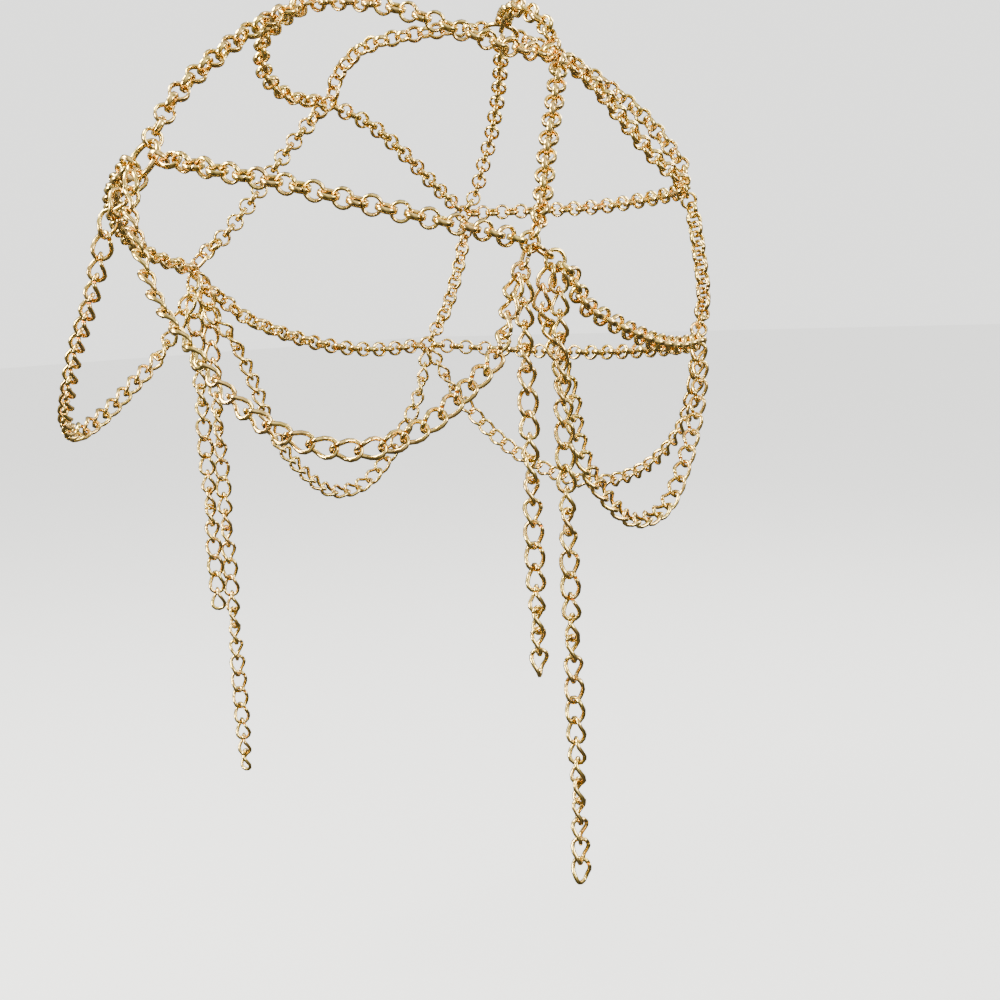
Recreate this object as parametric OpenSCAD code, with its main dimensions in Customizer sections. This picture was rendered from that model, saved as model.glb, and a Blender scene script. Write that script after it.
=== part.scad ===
// Hair chain: a cage of chains worn over the crown of the head, with five chain
// swags hung round it and a pair of loose drops at each temple.
// Millimetres. +Z is up, the wearer looks to -Y and the wearer's left side is +X.

/* [Oval-link chain] */
// Length of one oval link, end to end
link_len = 7.8; // [7.4:0.1:8.2]
// Width of one oval link
link_wide = 5.2; // [4.8:0.1:5.4]
// Thickness of an oval link's wire
link_wire = 1; // [0.8:0.05:1.05]
// Play between two oval links pulled straight
link_play = 0.25; // [0.2:0.05:0.3]
// Links in the front drop at each temple
front_drop_links = 18; // [8:1:24]
// Links in the back drop at each temple
back_drop_links = 29; // [16:1:32]

/* [Round-link chain] */
// Outer diameter of a round link, and so the thickness of a strand
round_d = 5.5; // [4.8:0.1:5.8]
// Thickness of a round link's wire
round_wire = 0.87; // [0.7:0.01:0.95]
// Thickness of a strand's tip, where its last link passes a ring
tip_d = 2.6; // [2:0.1:3]
// Length over which a strand's tip widens to the full thickness
tip_len = 3; // [2.5:0.1:4]

/* [Rings] */
// Outer diameter of the brow ring and of the crown ring
big_ring_d = 12; // [11.4:0.1:12.6]
// Thickness of the brow ring's and the crown ring's wire
big_ring_wire = 1.4; // [1.2:0.05:1.5]
// Outer diameter of the rings that join the strands
join_ring_d = 6.4; // [6.2:0.1:6.8]
// Thickness of the joining rings' wire
join_ring_wire = 1; // [0.8:0.05:1.05]
// Outer diameter of the ring at each temple
temple_ring_d = 6; // [5.8:0.1:6.2]

/* [Hangers] */
// Length of the oval hangers at each temple
hanger_len = 6.6; // [6.4:0.1:7]
// Width of the oval hangers
hanger_wide = 4.4; // [4.2:0.1:4.8]
// Thickness of the hangers' wire
hanger_wire = 0.95; // [0.8:0.05:1]

/* [Fit] */
// Play where a link passes round a ring's wire
ring_play = 0.25; // [0.2:0.05:0.3]
// Gap between a strand's tip and the ring that holds it
tip_gap = 0.3; // [0.2:0.05:0.5]

/* [Hidden] */

gold = [0.83, 0.66, 0.38];
pale_gold = [0.9, 0.75, 0.48];
round_sides = 48;
wire_sides = 24;
strand_sides = 8;
spline_steps = 10;
// Distance between a strand's cross-sections, about three strand thicknesses
section_step = 3 * round_d;

// Middle of the head that the strands lie round
head = [0, 5, 0];
// Centres of the rings, on the left side where there are two
brow = [0, -90, 39];
crown = [0, 46, 85];
top_front = [0, -34, 83];
top_side = [48, 14, 67];
top_back = [48, 76, 33];
nape = [59, 65, -14];
temple = [70, -28, 15];

// The way each ring faces, away from the head
brow_face = unit([0, -0.87, 0.5]);
crown_face = unit([0, 0.34, 0.94]);
top_front_face = unit([0, -0.34, 0.94]);
top_side_face = unit([0.73, 0.12, 0.68]);
top_back_face = unit([0.7, 0.64, 0.32]);
nape_face = unit([0.8, 0.6, 0]);
temple_face = unit([0.9, -0.44, 0]);

// Clock angles on the rings where links hang, seen with the ring's face away and 90 at the top
top_hanger_turn = 56;
front_hanger_turn = -111;
back_hanger_turn = -35;
front_drop_turn = -78;
front_swag_turn = -132;
back_drop_turn = -70;
side_swag_turn = -115;
brow_swag_turn = -72;
nape_swag_turn = -105;
nape_back_turn = -50;
top_hanger_way = unit([-0.25, 0.65, 0.7]);

up = [0, 0, 1];
big_r = (big_ring_d - big_ring_wire) / 2;
join_r = (join_ring_d - join_ring_wire) / 2;
temple_r = (temple_ring_d - join_ring_wire) / 2;
round_r = (round_d - round_wire) / 2;
big_end = big_ring_d / 2 + tip_gap;
join_end = join_ring_d / 2 + tip_gap;
temple_end = temple_ring_d / 2 + tip_gap;
link_pitch = link_len - 2 * link_wire - link_play;

// The hangers and what they carry lie in the plane of the temple ring
front_way = ring_way(temple_face, front_hanger_turn);
back_way = ring_way(temple_face, back_hanger_turn);
hanger_hook = hook(hanger_len, hanger_wire, join_ring_wire);
front_hanger = temple + front_way * (temple_r + hanger_hook);
front_link = front_hanger + front_way * (hook(hanger_len, hanger_wire, round_wire) + round_r);
back_hanger = temple + back_way * (temple_r + hanger_hook);
back_ring = back_hanger + back_way * (hanger_hook + join_r);
top_hanger = ring_point(temple, temple_face, temple_r, top_hanger_turn) + top_hanger_way * hanger_hook;
top_hanger_tip = top_hanger + top_hanger_way * (hanger_len / 2);

// Routes of the round-link strands, chosen points on the left side between the ring centres
brow_route = [
    brow, [11.5, -88, 37.5], [24, -84, 34], [36, -76.5, 30.5], [48, -67, 26], [58, -56, 22],
    [65.5, -43.5, 18.5], temple
];
side_route = [
    back_ring, [73.5, -16.5, 6.5], [71.5, -10, 0.5], [70.5, -3.5, -3], [70, 12, -8.5], [68, 28, -12.5],
    [64.5, 45, -14.5], nape
];
nape_route = [nape, [48, 78.5, -16], [27, 88, -18], [0, 92, -19], [-27, 88, -18], [-48, 78.5, -16], flip(nape)];
forehead_route = [brow, [0, -78, 56], [0, -60.5, 69.5], [0, -47, 77.5], top_front];
temple_route = [top_hanger_tip, [65, -17, 26], [60.5, -8, 39], [55, 3, 54], top_side];
back_route = [top_back, [49.5, 78, 26], [52.5, 76.5, 13], [56, 73, -1], nape];
top_front_route = [top_front, [14, -32, 81.5], [27, -28.5, 78], [40, -17.5, 71.5], [46.5, -3, 67.5], top_side];
top_side_route = [top_side, [47, 32, 61], [46.5, 46, 52.5], [47, 60, 43], top_back];
top_back_route = [
    top_back, [37, 86.5, 33], [20, 93, 32.5], [0, 95, 32], [-20, 93, 32.5], [-37, 86.5, 33], flip(top_back)
];
spoke_side_route = [top_side, [43.5, 15, 75.5], [34.5, 17, 82], [25, 22, 84.5], [12.5, 34, 86.5], crown];
spoke_back_route = [
    top_back, [45, 80, 40], [38.5, 78, 50], [31.5, 75, 59], [20, 66.5, 71], [9, 56, 80], crown
];

// Routes of the oval-link swags, chosen points between the wires of the rings that hold them
front_swag_start = ring_point(brow, brow_face, big_r, brow_swag_turn);
front_swag_end = ring_point(front_link, temple_face, round_r, front_swag_turn);
front_swag_route = [
    front_swag_start, [3.5, -97, 28], [7, -98.5, 20], [14, -99.5, 6], [25.5, -98.5, -7], [37, -95.5, -19.5],
    [49.5, -89.5, -28], [61, -79, -31], [67.5, -66, -27], [70.5, -52, -18], [71, -42.5, -10.5], front_swag_end
];
side_swag_start = ring_point(back_ring, temple_face, join_r, side_swag_turn);
side_swag_end = ring_point(nape, nape_face, join_r, nape_swag_turn);
side_swag_route = [
    side_swag_start, [69, -23, 0.5], [67, -18.5, -6], [66.5, -14.5, -13.5], [66.5, -9.5, -25],
    [65.5, -6, -37], [65, 1.5, -49], [65, 15, -61], [65, 27, -63.5], [64.5, 38.5, -60], [63, 49.5, -49.5],
    [61.5, 58, -37.5], [60.5, 63, -25.5], side_swag_end
];
back_swag_start = ring_point(nape, nape_face, join_r, nape_back_turn);
back_swag_route = [
    back_swag_start, [51.5, 72, -33], [38, 78, -49.5], [20, 82, -60.5], [0, 83, -64.5],
    [-20, 82, -60.5], [-38, 78, -49.5], [-51.5, 72, -33], flip(back_swag_start)
];

function unit(v) = v / norm(v);
function flip(p) = [-p.x, p.y, p.z];
function flip_all(route) = [for (p = route) flip(p)];
function square_to(v, way) = unit(v - (v * way) * way);

// Half a link's inside length, less the ring's wire and the play
function hook(len, wire, held_wire) = len / 2 - wire - held_wire / 2 - ring_play;

// A direction in a ring's plane, turned from the level towards the top
function ring_way(face, turn) =
    let (level = unit(cross(up, face)))
    cos(turn) * level + sin(turn) * cross(face, level);
function ring_point(centre, face, r, turn) = centre + r * ring_way(face, turn);

// Axes x, y and z at a point, as a matrix
function axes(at, x, y) =
    let (z = cross(x, y))
    [[x.x, y.x, z.x, at.x], [x.y, y.y, z.y, at.y], [x.z, y.z, z.z, at.z], [0, 0, 0, 1]];

// A smooth curve through the route's points, as short straight steps
function spline(route) =
    let (last = len(route) - 1)
    [
        for (i = [0 : last - 1])
            let (
                b = route[i],
                c = route[i + 1],
                a = i > 0 ? route[i - 1] : 2 * b - c,
                d = i < last - 1 ? route[i + 2] : 2 * c - b
            )
            for (k = [0 : spline_steps - 1])
                let (t = k / spline_steps)
                b + (c - a) * t / 2 + (2 * a - 5 * b + 4 * c - d) * pow(t, 2) / 2
                    + (3 * b - a - 3 * c + d) * pow(t, 3) / 2,
        route[last]
    ];

// Distance along a curve to each of its points
function distances(curve, i = 0, sum = 0) =
    i == len(curve) - 1 ? [sum]
    : concat([sum], distances(curve, i + 1, sum + norm(curve[i + 1] - curve[i])));

// The point and the direction at a distance along a curve
function step_at(far, s) = max([for (i = [0 : len(far) - 2]) if (i == 0 || far[i] <= s) i]);
function point_at(curve, far, s) =
    let (i = step_at(far, s))
    curve[i] + unit(curve[i + 1] - curve[i]) * (s - far[i]);
function way_at(curve, far, s) =
    let (reach = min(1.5, s, far[len(far) - 1] - s) + 0.01)
    unit(point_at(curve, far, s + reach) - point_at(curve, far, s - reach));

// The direction away from the head, square to the curve
function out_at(curve, far, s) = square_to(point_at(curve, far, s) - head, way_at(curve, far, s));

// The turn about a direction that brings one side round to another, and a turn of a
// two-sided link brought within a quarter turn either way
function turn_to(goal, side, way) = atan2(goal * cross(way, side), goal * side);
function within_half(turn) = turn - 180 * round(turn / 180);

// A closed ring of round wire
module ring(centre, face, d, wire) {
    side = square_to(abs(face.x) < 0.5 ? [1, 0, 0] : up, face);
    multmatrix(axes(centre, side, cross(face, side)))
        rotate_extrude($fn = round_sides)
            translate([(d - wire) / 2, 0])
                circle(d = wire, $fn = wire_sides);
}

// A flat oval link of round wire, its length along X
module oval(len, wide, wire) {
    r = (wide - wire) / 2;
    half = (len - wide) / 2;
    for (turn = [0, 180])
        rotate(turn) {
            translate([half, 0, 0])
                rotate(-90)
                    rotate_extrude(angle = 180, $fn = round_sides)
                        translate([r, 0])
                            circle(d = wire, $fn = wire_sides);
            translate([-half, r, 0])
                rotate([0, 90, 0])
                    cylinder(h = 2 * half, d = wire, $fn = wire_sides);
        }
}

module hanger(centre, way, across) {
    multmatrix(axes(centre, way, square_to(across, way)))
        oval(hanger_len, hanger_wide, hanger_wire);
}

// Oval links along a route, each a quarter turn from the last, with the first and
// the last link square to the rings that they pass round
module oval_chain(route, start_hook, end_hook, start_face, end_face) {
    curve = spline(route);
    far = distances(curve);
    last = far[len(far) - 1] - end_hook;
    steps = round((last - start_hook) / link_pitch);
    start_turn = turn_to(start_face, out_at(curve, far, start_hook), way_at(curve, far, start_hook));
    end_turn = turn_to(end_face, out_at(curve, far, last), way_at(curve, far, last));
    twist = within_half(end_turn - start_turn - 90 * steps);
    for (i = [0 : steps]) {
        s = start_hook + (last - start_hook) * i / steps;
        multmatrix(axes(point_at(curve, far, s), way_at(curve, far, s), out_at(curve, far, s)))
            rotate([start_turn + 90 * i + twist * i / steps, 0, 0])
                oval(link_len, link_wide, link_wire);
    }
}

// A loose chain of oval links that hangs plumb from a ring's wire
module drop(at, held_wire, across, count) {
    for (i = [0 : count - 1])
        translate(at - up * (hook(link_len, link_wire, held_wire) + link_pitch * i))
            multmatrix(axes([0, 0, 0], -up, square_to(across, up)))
                rotate([90 * (i % 2), 0, 0])
                    oval(link_len, link_wide, link_wire);
}

// A strand of round links as one smooth bar of the links' own thickness
module strand(route, start, end) {
    curve = spline(route);
    far = distances(curve);
    first = start;
    last = far[len(far) - 1] - end;
    inner = last - first - 2 * tip_len;
    parts = max(2, round(inner / section_step));
    places = concat([first], [for (i = [0 : parts]) first + tip_len + inner * i / parts], [last]);
    count = len(places);
    points = [
        for (k = [0 : count - 1])
            let (
                at = point_at(curve, far, places[k]),
                way = way_at(curve, far, places[k]),
                side = square_to(at - head, way),
                r = (k == 0 || k == count - 1 ? tip_d : round_d) / 2
            )
            for (j = [0 : strand_sides - 1])
                at + r * (cos(360 * j / strand_sides) * side + sin(360 * j / strand_sides) * cross(way, side))
    ];
    faces = [
        for (k = [0 : count - 2], j = [0 : strand_sides - 1])
            let (
                a = k * strand_sides + j,
                b = k * strand_sides + (j + 1) % strand_sides,
                c = a + strand_sides,
                d = b + strand_sides
            )
            each [[a, b, d], [a, d, c]],
        for (j = [1 : strand_sides - 2])
            each [
                [0, j + 1, j],
                [(count - 1) * strand_sides, (count - 1) * strand_sides + j, (count - 1) * strand_sides + j + 1]
            ]
    ];
    polyhedron(points = points, faces = faces, convexity = 10);
}

module brow_ring() color(gold) ring(brow, brow_face, big_ring_d, big_ring_wire);
module crown_ring() color(gold) ring(crown, crown_face, big_ring_d, big_ring_wire);
module join_ring(centre, face) color(gold) ring(centre, face, join_ring_d, join_ring_wire);
module top_front_ring() join_ring(top_front, top_front_face);
module top_side_ring_left() join_ring(top_side, top_side_face);
module top_side_ring_right() join_ring(flip(top_side), flip(top_side_face));
module top_back_ring_left() join_ring(top_back, top_back_face);
module top_back_ring_right() join_ring(flip(top_back), flip(top_back_face));
module nape_ring_left() join_ring(nape, nape_face);
module nape_ring_right() join_ring(flip(nape), flip(nape_face));
module back_ring_left() join_ring(back_ring, temple_face);
module back_ring_right() join_ring(flip(back_ring), flip(temple_face));
module temple_ring_left() color(gold) ring(temple, temple_face, temple_ring_d, join_ring_wire);
module temple_ring_right() color(gold) ring(flip(temple), flip(temple_face), temple_ring_d, join_ring_wire);
module front_link_left() color(gold) ring(front_link, temple_face, round_d, round_wire);
module front_link_right() color(gold) ring(flip(front_link), flip(temple_face), round_d, round_wire);

module top_hanger_left() color(pale_gold) hanger(top_hanger, top_hanger_way, temple_face);
module top_hanger_right() color(pale_gold) hanger(flip(top_hanger), flip(top_hanger_way), flip(temple_face));
module front_hanger_left() color(pale_gold) hanger(front_hanger, front_way, temple_face);
module front_hanger_right() color(pale_gold) hanger(flip(front_hanger), flip(front_way), flip(temple_face));
module back_hanger_left() color(pale_gold) hanger(back_hanger, back_way, temple_face);
module back_hanger_right() color(pale_gold) hanger(flip(back_hanger), flip(back_way), flip(temple_face));

module gold_strand(route, start, end) color(gold) strand(route, start, end);
module brow_strand_left() gold_strand(brow_route, big_end, temple_end);
module brow_strand_right() gold_strand(flip_all(brow_route), big_end, temple_end);
module side_strand_left() gold_strand(side_route, join_end, join_end);
module side_strand_right() gold_strand(flip_all(side_route), join_end, join_end);
module nape_strand() gold_strand(nape_route, join_end, join_end);
module forehead_strand() gold_strand(forehead_route, big_end, join_end);
module temple_strand_left() gold_strand(temple_route, tip_gap, join_end);
module temple_strand_right() gold_strand(flip_all(temple_route), tip_gap, join_end);
module back_strand_left() gold_strand(back_route, join_end, join_end);
module back_strand_right() gold_strand(flip_all(back_route), join_end, join_end);
module top_front_strand_left() gold_strand(top_front_route, join_end, join_end);
module top_front_strand_right() gold_strand(flip_all(top_front_route), join_end, join_end);
module top_side_strand_left() gold_strand(top_side_route, join_end, join_end);
module top_side_strand_right() gold_strand(flip_all(top_side_route), join_end, join_end);
module top_back_strand() gold_strand(top_back_route, join_end, join_end);
module spoke_side_left() gold_strand(spoke_side_route, join_end, big_end);
module spoke_side_right() gold_strand(flip_all(spoke_side_route), join_end, big_end);
module spoke_back_left() gold_strand(spoke_back_route, join_end, big_end);
module spoke_back_right() gold_strand(flip_all(spoke_back_route), join_end, big_end);

brow_hook = hook(link_len, link_wire, big_ring_wire);
join_hook = hook(link_len, link_wire, join_ring_wire);
round_hook = hook(link_len, link_wire, round_wire);

module front_swag_left()
    color(pale_gold) oval_chain(front_swag_route, brow_hook, round_hook, brow_face, temple_face);
module front_swag_right()
    color(pale_gold)
        oval_chain(flip_all(front_swag_route), brow_hook, round_hook, flip(brow_face), flip(temple_face));
module side_swag_left()
    color(pale_gold) oval_chain(side_swag_route, join_hook, join_hook, temple_face, nape_face);
module side_swag_right()
    color(pale_gold)
        oval_chain(flip_all(side_swag_route), join_hook, join_hook, flip(temple_face), flip(nape_face));
module back_swag()
    color(pale_gold) oval_chain(back_swag_route, join_hook, join_hook, nape_face, flip(nape_face));

front_drop_at = ring_point(front_link, temple_face, round_r, front_drop_turn);
back_drop_at = ring_point(back_ring, temple_face, join_r, back_drop_turn);
module front_drop_left() color(pale_gold) drop(front_drop_at, round_wire, temple_face, front_drop_links);
module front_drop_right()
    color(pale_gold) drop(flip(front_drop_at), round_wire, flip(temple_face), front_drop_links);
module back_drop_left() color(pale_gold) drop(back_drop_at, join_ring_wire, temple_face, back_drop_links);
module back_drop_right()
    color(pale_gold) drop(flip(back_drop_at), join_ring_wire, flip(temple_face), back_drop_links);

brow_ring();
crown_ring();
top_front_ring();
top_side_ring_left();
top_side_ring_right();
top_back_ring_left();
top_back_ring_right();
nape_ring_left();
nape_ring_right();
temple_ring_left();
temple_ring_right();
top_hanger_left();
top_hanger_right();
front_hanger_left();
front_hanger_right();
back_hanger_left();
back_hanger_right();
front_link_left();
front_link_right();
back_ring_left();
back_ring_right();
brow_strand_left();
brow_strand_right();
side_strand_left();
side_strand_right();
nape_strand();
forehead_strand();
temple_strand_left();
temple_strand_right();
back_strand_left();
back_strand_right();
top_front_strand_left();
top_front_strand_right();
top_side_strand_left();
top_side_strand_right();
top_back_strand();
spoke_side_left();
spoke_side_right();
spoke_back_left();
spoke_back_right();
front_swag_left();
front_swag_right();
side_swag_left();
side_swag_right();
back_swag();
front_drop_left();
front_drop_right();
back_drop_left();
back_drop_right();
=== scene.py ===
"""Dressed model of a hair chain: a cage of round-link strands that is worn over the crown,
with oval-link swags hung round it and a pair of loose drops at each temple.

Sizes are in millimetres here and in metres in the meshes. +Z is up, the brow is towards
-Y and the wearer's left side is +X. Every link is one closed wire of its own."""
import logging
import math
from dataclasses import dataclass, field, replace
from enum import Enum
from functools import cached_property
from typing import ClassVar

import bpy
import numpy as np
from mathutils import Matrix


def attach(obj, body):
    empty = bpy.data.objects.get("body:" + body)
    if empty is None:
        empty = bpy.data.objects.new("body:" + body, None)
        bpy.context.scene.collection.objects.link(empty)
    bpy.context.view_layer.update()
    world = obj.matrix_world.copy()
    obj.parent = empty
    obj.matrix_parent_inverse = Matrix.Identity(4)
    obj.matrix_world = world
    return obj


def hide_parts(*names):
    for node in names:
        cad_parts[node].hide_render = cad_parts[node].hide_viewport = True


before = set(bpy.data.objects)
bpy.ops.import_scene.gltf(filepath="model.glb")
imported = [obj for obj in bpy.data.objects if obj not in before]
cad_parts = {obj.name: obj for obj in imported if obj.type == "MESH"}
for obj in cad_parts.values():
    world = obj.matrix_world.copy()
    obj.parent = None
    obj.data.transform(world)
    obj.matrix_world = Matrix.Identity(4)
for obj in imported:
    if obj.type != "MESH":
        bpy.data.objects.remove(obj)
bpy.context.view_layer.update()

LOG = logging.getLogger("hair_chain")
Array = np.ndarray
Pair = tuple[float, float]
Triple = tuple[float, float, float]
Socket = bpy.types.NodeSocket

MM = 0.001
BODY = "root"
UP = np.array([0.0, 0.0, 1.0])
# Middle of the cage, which the outer side of every chain faces away from
MIDDLE = np.array([0.0, 5.0, 0.0])
WHITE = (1.0, 1.0, 1.0)
# Name of the UV map whose U runs along the wire from one end to the other
WIRE_MAP = "wire"
# Numbers of a Mix node's colour sockets, which share their names with others
MIX_A, MIX_B, MIX_RESULT = 6, 7, 2
# The corners of a wire with no more sides than this stand out, so that it looks round enough
FEW_SIDES = 6
CORNER_GROWTH = 1.04
# How fast the halves of a flat oval link part where its straight sides begin
PARTING = 6.0
# Steps of a route's curve from one chosen point to the next
SPLINE_STEPS = 10
# How far each way a route's direction is taken, and what is added at its very ends
WAY_REACH = 1.5
END_REACH = 0.01
# Play of an oval link and a round link round a ring's wire, and of one round a hanger's end
RING_PLAY = 0.25
ROUND_PLAY = 0.26
TIP_PLAY = 0.42
# How far from square a round link may stand on the wire that it holds, in degrees
ROUND_SLACK = 10.0
# How far a twisted link may turn back against the last one near a swag's end, in degrees
CURB_SLACK = 25.0
# Distance from link to link of a swag, and of a drop, whose own weight pulls it nearly tight
CURB_PITCH = 5.55
DROP_PITCH = 5.62


def unit(v: Array) -> Array:
    """Scale vectors to length one along their last axis."""
    return v / np.linalg.norm(v, axis=-1, keepdims=True)


def square_to(v: Array, way: Array) -> Array:
    """Return the unit part of v that is square to way, pair by pair."""
    return unit(v - np.sum(v * way, axis=-1, keepdims=True) * way)


def turn_to(goal: Array, side: Array, way: Array) -> float:
    """Measure the turn in degrees about way that brings side round to goal."""
    return math.degrees(math.atan2(float(goal @ np.cross(way, side)), float(goal @ side)))


def within_half(turn: float) -> float:
    """Bring the turn of a two-sided link within a quarter turn either way."""
    return turn - 180.0 * round(turn / 180.0)


def one_way(turn: float, slack: float) -> float:
    """Bring the turn of a two-sided link between a half turn less slack back, and slack on."""
    return turn - 180.0 * math.ceil((turn - slack) / 180.0)


def beyond(turn: float, slack: float) -> float:
    """Keep the part of a turn that goes past a slack either way."""
    return math.copysign(max(abs(turn) - slack, 0.0), turn)


def smooth(x: Array) -> Array:
    """Ease from 0 to 1 as x goes from 0 to 1, by 3x^2 - 2x^3."""
    t = np.clip(x, 0.0, 1.0)
    return t * t * (3.0 - 2.0 * t)


def points(*rows: Triple) -> Array:
    """Collect points as the rows of an array."""
    return np.array(rows, float)


class Side(Enum):
    """The side that a piece is worn on."""

    LEFT = "left"
    RIGHT = "right"

    def place(self, spots: Array) -> Array:
        """Return points or directions of the left side, mirrored for the right side."""
        return spots * (1.0 if self is Side.LEFT else -1.0, 1.0, 1.0)


class Slot(Enum):
    """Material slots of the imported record."""

    ROUND = "round_chain"
    OVAL = "oval_chain"
    RING = "ring"
    HANGER = "hanger"


def across_back(half: Array) -> Array:
    """Complete a route behind the cage: its left half, then the same mirrored."""
    return np.vstack([half, Side.RIGHT.place(half[-2::-1])])


@dataclass(frozen=True)
class Shading:
    """The shader nodes of a finish or of the surroundings, added one by one.

    Attributes:
        tree: Their node tree.
    """

    tree: bpy.types.NodeTree

    def feed(self, node: bpy.types.Node, inputs: dict) -> None:
        """Feed the inputs of a node.

        Args:
            node: The node.
            inputs: For the name or number of each input, a socket to link or a value to set.
        """
        for key, source in inputs.items():
            if isinstance(source, Socket):
                self.tree.links.new(source, node.inputs[key])
            else:
                node.inputs[key].default_value = source

    def add(self, kind: str, inputs: dict | None = None) -> bpy.types.Node:
        """Add a node.

        Args:
            kind: Its type, without the first word that all the types share.
            inputs: What its inputs are fed with.

        Returns:
            The node.
        """
        node = self.tree.nodes.new(f"ShaderNode{kind}")
        self.feed(node, inputs or {})
        return node

    def calculate(self, operation: str, *values: Socket | float) -> Socket:
        """Add a node that works out a value from others.

        Args:
            operation: Name of the operation.
            values: What it is done with.

        Returns:
            The socket of the result.
        """
        node = self.add("Math")
        node.operation = operation
        self.feed(node, dict(enumerate(values)))
        return node.outputs[0]

    def noise(self, place: Socket, scale: float, detail: float) -> Socket:
        """Add a noise at a place and return the socket of its value."""
        node = self.add("TexNoise", {"Vector": place, "Scale": scale, "Detail": detail})
        return node.outputs["Fac"]

    def remap(self, value: Socket, low: Pair, high: Pair, ease: str = "LINEAR") -> Socket:
        """Carry a value from one range over to another.

        Args:
            value: Socket of the value.
            low: Start of the range, and what becomes of it.
            high: End of the range, and what becomes of it.
            ease: Name of the way from one to the other.

        Returns:
            The socket of the new value.
        """
        ends = {"From Min": low[0], "To Min": low[1], "From Max": high[0], "To Max": high[1]}
        node = self.add("MapRange", {"Value": value, **ends})
        node.interpolation_type = ease
        return node.outputs["Result"]

    def ramp(self, value: Socket, *stops: tuple[float, Triple]) -> Socket:
        """Colour a value.

        Args:
            value: Socket of the value.
            stops: Values, from low to high, and their colours.

        Returns:
            The socket of the colour.
        """
        node = self.add("ValToRGB", {"Fac": value})
        scale = node.color_ramp.elements
        scale[0].position, scale[1].position = stops[0][0], stops[-1][0]
        for place, _ in stops[1:-1]:
            scale.new(place)
        for element, (_, colour) in zip(scale, stops):
            element.color = (*colour, 1.0)
        return node.outputs["Color"]


@dataclass(frozen=True)
class Gold:
    """A polished gold plate whose tone and gloss drift a little over the wire.

    Attributes:
        name: Name of the material.
        yellow: Linear colour of the yellow places.
        rose: Linear colour of the rosy places.
        tone_span: Values of the drift at which the yellow ends and the rose begins.
        tone_scale: Drifts of colour to a metre.
        tone_detail: Finer drifts laid over each other.
        grain_scale: Grains of the polish to a metre.
        grain_detail: Finer grains laid over each other.
        grain_depth: Depth of the polish marks in metres.
        grain_strength: Share of them that shows.
        roughness: Least and greatest roughness.
        seam: Share of a link's round that its closing seam darkens.
        seam_shade: Share of each colour that is left in the seam.
    """

    name: str
    yellow: Triple = (0.9, 0.665, 0.18)
    rose: Triple = (0.89, 0.6, 0.2)
    tone_span: Pair = (0.38, 0.64)
    tone_scale: float = 170.0
    tone_detail: float = 2.0
    grain_scale: float = 1200.0
    grain_detail: float = 5.0
    grain_depth: float = 0.0000015
    grain_strength: float = 0.35
    roughness: Pair = (0.14, 0.2)
    seam: float = 0.01
    seam_shade: Triple = (0.6, 0.5, 0.42)

    def material(self) -> bpy.types.Material:
        """Build the finish as shader nodes that read Object coordinates and the wire's UV map.

        Returns:
            The material.
        """
        made = bpy.data.materials.new(self.name)
        made.use_nodes = True
        shading = Shading(made.node_tree)
        place = shading.add("TexCoord").outputs["Object"]
        tone = shading.noise(place, self.tone_scale, self.tone_detail)
        grain = shading.noise(place, self.grain_scale, self.grain_detail)
        yellow_end, rose_start = self.tone_span
        colour = shading.ramp(tone, (yellow_end, self.yellow), (rose_start, self.rose))
        least, greatest = self.roughness
        marks = {"Strength": self.grain_strength, "Distance": self.grain_depth, "Height": grain}
        shading.feed(
            made.node_tree.nodes["Principled BSDF"],
            {
                "Metallic": 1.0,
                "Base Color": self._seamed(shading, colour),
                "Roughness": shading.remap(grain, (0.0, least), (1.0, greatest)),
                "Normal": shading.add("Bump", marks).outputs["Normal"],
            },
        )
        return made

    def _seamed(self, shading: Shading, colour: Socket) -> Socket:
        """Darken the colour towards the ends of the wire, where the map's U is near 0 or 1.

        Args:
            shading: Nodes of the material.
            colour: Socket of the plate's colour.

        Returns:
            The socket of the colour with the seam in it.
        """
        chart = shading.add("UVMap")
        chart.uv_map = WIRE_MAP
        split = shading.add("SeparateXYZ", {"Vector": chart.outputs["UV"]})
        away = shading.calculate("PINGPONG", split.outputs["X"], 0.5)
        shade = shading.ramp(away, (0.0, self.seam_shade), (self.seam, WHITE))
        mix = shading.add("Mix")
        mix.data_type, mix.blend_type = "RGBA", "MULTIPLY"
        shading.feed(mix, {"Factor": 1.0, MIX_A: colour, MIX_B: shade})
        return mix.outputs[MIX_RESULT]


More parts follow.
